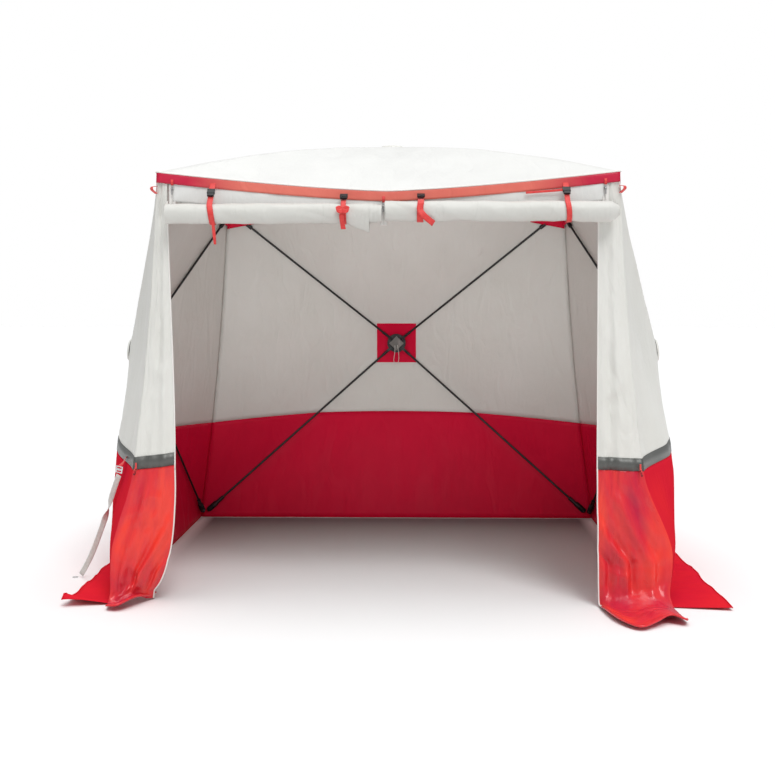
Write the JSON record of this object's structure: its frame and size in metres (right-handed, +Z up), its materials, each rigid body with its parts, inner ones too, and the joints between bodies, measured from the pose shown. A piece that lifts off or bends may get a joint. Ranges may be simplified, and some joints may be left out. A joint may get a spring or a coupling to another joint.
{
  "type": "pop-up shelter",
  "caption": "Square pop-up fabric shelter with a hub and poles on each wall and the roof, rolled door leaves, a ground skirt and a storm strap.",
  "frame": {"origin": "on the ground at the centre of the floor", "axes": "+X right and -Y towards the person facing the door, +Z up"},
  "size_m": [2.8595, 2.8737, 2.035],
  "materials": {
    "white_cloth": "coated woven cloth",
    "red_cloth": "glossy coated cloth",
    "reflective_tape": "glass bead tape",
    "red_webbing": "woven webbing",
    "white_webbing": "woven webbing",
    "white_cord": "braided",
    "bright_metal": "polished",
    "zip_metal": "satin",
    "buckle_plastic": "moulded",
    "hook_steel": "black coated",
    "hub_plastic": "moulded",
    "hub_steel": "zinc plated",
    "pole_fibreglass": "pultruded"
  },
  "bodies": {
    "root": {"back_wall": "white_cloth", "back_base": "red_cloth", "left_wall": "white_cloth", "left_base": "red_cloth", "right_wall": "white_cloth", "right_base": "red_cloth", "roof_cover": "white_cloth", "front_wings": "white_cloth", "front_bases": "red_cloth", "door_header": "white_cloth", "reflective_tape": "reflective_tape", "eave_band": "red_cloth", "reinforcement_patches": "red_cloth", "snow_skirt": "red_cloth", "door_roll_left": "white_cloth", "door_roll_right": "white_cloth", "roll_straps": "red_webbing", "buckle_sockets": "buckle_plastic", "zip_sliders": "zip_metal", "webbing_tabs": "red_webbing", "storm_strap_hardware": "bright_metal", "storm_strap": "white_webbing"},
    "back_hub": {"back_hub_body": "hub_plastic", "back_hub_cap": "hub_plastic", "back_hub_hardware": "hub_steel", "hub_pull_cord": "white_cord"},
    "back_pole_lower_a": {"back_pole_lower_a": "pole_fibreglass"},
    "back_pole_lower_b": {"back_pole_lower_b": "pole_fibreglass"},
    "back_pole_upper_b": {"back_pole_upper_b": "pole_fibreglass"},
    "back_pole_upper_a": {"back_pole_upper_a": "pole_fibreglass"},
    "left_hub": {"left_hub_body": "hub_plastic", "left_hub_cap": "hub_plastic", "left_hub_hardware": "hub_steel"},
    "left_pole_lower_a": {"left_pole_lower_a": "pole_fibreglass"},
    "left_pole_lower_b": {"left_pole_lower_b": "pole_fibreglass"},
    "left_pole_upper_b": {"left_pole_upper_b": "pole_fibreglass"},
    "left_pole_upper_a": {"left_pole_upper_a": "pole_fibreglass"},
    "right_hub": {"right_hub_body": "hub_plastic", "right_hub_cap": "hub_plastic", "right_hub_hardware": "hub_steel"},
    "right_pole_lower_a": {"right_pole_lower_a": "pole_fibreglass"},
    "right_pole_lower_b": {"right_pole_lower_b": "pole_fibreglass"},
    "right_pole_upper_b": {"right_pole_upper_b": "pole_fibreglass"},
    "right_pole_upper_a": {"right_pole_upper_a": "pole_fibreglass"},
    "roof_hub": {"roof_hub_body": "hub_plastic", "roof_hub_cap": "hub_plastic", "roof_hub_hardware": "hub_steel"},
    "roof_pole_front_left": {"roof_pole_front_left": "pole_fibreglass"},
    "roof_pole_front_right": {"roof_pole_front_right": "pole_fibreglass"},
    "roof_pole_rear_right": {"roof_pole_rear_right": "pole_fibreglass"},
    "roof_pole_rear_left": {"roof_pole_rear_left": "pole_fibreglass"},
    "buckle_tongue_1": {"buckle_tongue_1": "buckle_plastic"},
    "buckle_tongue_2": {"buckle_tongue_2": "buckle_plastic"},
    "buckle_tongue_3": {"buckle_tongue_3": "buckle_plastic"},
    "buckle_tongue_4": {"buckle_tongue_4": "buckle_plastic"},
    "zip_pull_1": {"zip_pull_1": "zip_metal"},
    "zip_pull_2": {"zip_pull_2": "zip_metal"},
    "zip_pull_3": {"zip_pull_3": "zip_metal"},
    "corner_hook_left": {"corner_hook_left": "hook_steel"},
    "corner_hook_right": {"corner_hook_right": "hook_steel"}
  },
  "joints": [
    {"name": "back_hub_pop", "type": "slide", "parent": "root", "child": "back_hub", "axis": [0, 0.9983, 0.0579], "range_m": [-0.702, 0]},
    {"name": "back_pole_lower_a_hinge", "type": "hinge", "parent": "back_hub", "child": "back_pole_lower_a", "pos_m": [0.02871, 1.38871, 0.99703], "axis": [0.6551, -0.0438, 0.7543], "range_deg": [0, 27.1]},
    {"name": "back_pole_lower_b_hinge", "type": "hinge", "parent": "back_hub", "child": "back_pole_lower_b", "pos_m": [-0.02871, 1.38871, 0.99703], "axis": [0.6551, 0.0438, -0.7543], "range_deg": [0, 27.1]},
    {"name": "back_pole_upper_b_hinge", "type": "hinge", "parent": "back_hub", "child": "back_pole_upper_b", "pos_m": [-0.0292, 1.38586, 1.04615], "axis": [-0.6398, 0.0445, -0.7673], "range_deg": [0, 32.98]},
    {"name": "back_pole_upper_a_hinge", "type": "hinge", "parent": "back_hub", "child": "back_pole_upper_a", "pos_m": [0.0292, 1.38586, 1.04615], "axis": [-0.6398, -0.0445, 0.7673], "range_deg": [0, 32.98]},
    {"name": "left_hub_pop", "type": "slide", "parent": "root", "child": "left_hub", "axis": [-0.9946, 0, 0.1039], "range_m": [-0.518, 0]},
    {"name": "left_pole_lower_a_hinge", "type": "hinge", "parent": "left_hub", "child": "left_pole_lower_a", "pos_m": [-1.28564, 0.02827, 1.00205], "axis": [0.0773, 0.6682, 0.74], "range_deg": [0, 20.5]},
    {"name": "left_pole_lower_b_hinge", "type": "hinge", "parent": "left_hub", "child": "left_pole_lower_b", "pos_m": [-1.28564, -0.02827, 1.00205], "axis": [-0.0773, 0.6682, -0.74], "range_deg": [0, 20.5]},
    {"name": "left_pole_upper_b_hinge", "type": "hinge", "parent": "left_hub", "child": "left_pole_upper_b", "pos_m": [-1.28055, -0.02976, 1.05081], "axis": [-0.0813, -0.622, -0.7788], "range_deg": [0, 23.87]},
    {"name": "left_pole_upper_a_hinge", "type": "hinge", "parent": "left_hub", "child": "left_pole_upper_a", "pos_m": [-1.28055, 0.02976, 1.05081], "axis": [0.0813, -0.622, 0.7788], "range_deg": [0, 23.87]},
    {"name": "right_hub_pop", "type": "slide", "parent": "root", "child": "right_hub", "axis": [0.9946, 0, 0.1039], "range_m": [-0.518, 0]},
    {"name": "right_pole_lower_a_hinge", "type": "hinge", "parent": "right_hub", "child": "right_pole_lower_a", "pos_m": [1.28564, -0.02827, 1.00205], "axis": [-0.0773, -0.6682, 0.74], "range_deg": [0, 20.5]},
    {"name": "right_pole_lower_b_hinge", "type": "hinge", "parent": "right_hub", "child": "right_pole_lower_b", "pos_m": [1.28564, 0.02827, 1.00205], "axis": [0.0773, -0.6682, -0.74], "range_deg": [0, 20.5]},
    {"name": "right_pole_upper_b_hinge", "type": "hinge", "parent": "right_hub", "child": "right_pole_upper_b", "pos_m": [1.28055, 0.02976, 1.05081], "axis": [0.0813, 0.622, -0.7788], "range_deg": [0, 23.87]},
    {"name": "right_pole_upper_a_hinge", "type": "hinge", "parent": "right_hub", "child": "right_pole_upper_a", "pos_m": [1.28055, -0.02976, 1.05081], "axis": [-0.0813, 0.622, 0.7788], "range_deg": [0, 23.87]},
    {"name": "roof_hub_pop", "type": "slide", "parent": "root", "child": "roof_hub", "axis": [0, 0, 1], "range_m": [-0.432, 0]},
    {"name": "roof_pole_front_left_hinge", "type": "hinge", "parent": "roof_hub", "child": "roof_pole_front_left", "pos_m": [-0.02618, -0.02754, 2.001], "axis": [-0.7248, 0.6889, 0], "range_deg": [0, 18.5]},
    {"name": "roof_pole_front_right_hinge", "type": "hinge", "parent": "roof_hub", "child": "roof_pole_front_right", "pos_m": [0.02618, -0.02754, 2.001], "axis": [-0.7248, -0.6889, 0], "range_deg": [0, 18.5]},
    {"name": "roof_pole_rear_right_hinge", "type": "hinge", "parent": "roof_hub", "child": "roof_pole_rear_right", "pos_m": [0.02618, 0.02754, 2.001], "axis": [0.7248, -0.6889, 0], "range_deg": [0, 18.5]},
    {"name": "roof_pole_rear_left_hinge", "type": "hinge", "parent": "roof_hub", "child": "roof_pole_rear_left", "pos_m": [-0.02618, 0.02754, 2.001], "axis": [0.7248, 0.6889, 0], "range_deg": [0, 18.5]},
    {"name": "buckle_release_1", "type": "slide", "parent": "root", "child": "buckle_tongue_1", "axis": [0, -0.7139, -0.7002], "range_m": [0, 0.024]},
    {"name": "buckle_release_2", "type": "slide", "parent": "root", "child": "buckle_tongue_2", "axis": [0, -0.9002, -0.4354], "range_m": [0, 0.024]},
    {"name": "buckle_release_3", "type": "slide", "parent": "root", "child": "buckle_tongue_3", "axis": [0, -0.9515, -0.3078], "range_m": [0, 0.024]},
    {"name": "buckle_release_4", "type": "slide", "parent": "root", "child": "buckle_tongue_4", "axis": [0, -0.7458, -0.6662], "range_m": [0, 0.024]},
    {"name": "zip_pull_1_swing", "type": "hinge", "parent": "root", "child": "zip_pull_1", "pos_m": [-0.9, -1.03151, 1.74253], "axis": [1, 0, 0], "range_deg": [-150, 0]},
    {"name": "zip_pull_2_swing", "type": "hinge", "parent": "root", "child": "zip_pull_2", "pos_m": [-0.0155, -1.03576, 1.66928], "axis": [1, 0, 0], "range_deg": [-150, 0]},
    {"name": "zip_pull_3_swing", "type": "hinge", "parent": "root", "child": "zip_pull_3", "pos_m": [0.906, -1.03148, 1.74303], "axis": [1, 0, 0], "range_deg": [-150, 0]},
    {"name": "corner_hook_left_swing", "type": "hinge", "parent": "root", "child": "corner_hook_left", "pos_m": [-1.05799, -1.0835, 0.567], "axis": [-0.9578, 0.2873, 0], "range_deg": [0, 100]},
    {"name": "corner_hook_right_swing", "type": "hinge", "parent": "root", "child": "corner_hook_right", "pos_m": [1.05799, -1.0835, 0.567], "axis": [-0.9578, -0.2873, 0], "range_deg": [0, 100]}
  ],
  "couplings": [
    {"joint": "back_pole_lower_a_hinge", "follows": "back_hub_pop", "rad_per_m": -0.67326},
    {"joint": "back_pole_lower_b_hinge", "follows": "back_hub_pop", "rad_per_m": -0.67326},
    {"joint": "back_pole_upper_b_hinge", "follows": "back_hub_pop", "rad_per_m": -0.81952},
    {"joint": "back_pole_upper_a_hinge", "follows": "back_hub_pop", "rad_per_m": -0.81952},
    {"joint": "left_pole_lower_a_hinge", "follows": "left_hub_pop", "rad_per_m": -0.69},
    {"joint": "left_pole_lower_b_hinge", "follows": "left_hub_pop", "rad_per_m": -0.69},
    {"joint": "left_pole_upper_b_hinge", "follows": "left_hub_pop", "rad_per_m": -0.80364},
    {"joint": "left_pole_upper_a_hinge", "follows": "left_hub_pop", "rad_per_m": -0.80364},
    {"joint": "right_pole_lower_a_hinge", "follows": "right_hub_pop", "rad_per_m": -0.69},
    {"joint": "right_pole_lower_b_hinge", "follows": "right_hub_pop", "rad_per_m": -0.69},
    {"joint": "right_pole_upper_b_hinge", "follows": "right_hub_pop", "rad_per_m": -0.80364},
    {"joint": "right_pole_upper_a_hinge", "follows": "right_hub_pop", "rad_per_m": -0.80364},
    {"joint": "roof_pole_front_left_hinge", "follows": "roof_hub_pop", "rad_per_m": -0.74655},
    {"joint": "roof_pole_front_right_hinge", "follows": "roof_hub_pop", "rad_per_m": -0.74655},
    {"joint": "roof_pole_rear_right_hinge", "follows": "roof_hub_pop", "rad_per_m": -0.74655},
    {"joint": "roof_pole_rear_left_hinge", "follows": "roof_hub_pop", "rad_per_m": -0.74655}
  ]
}
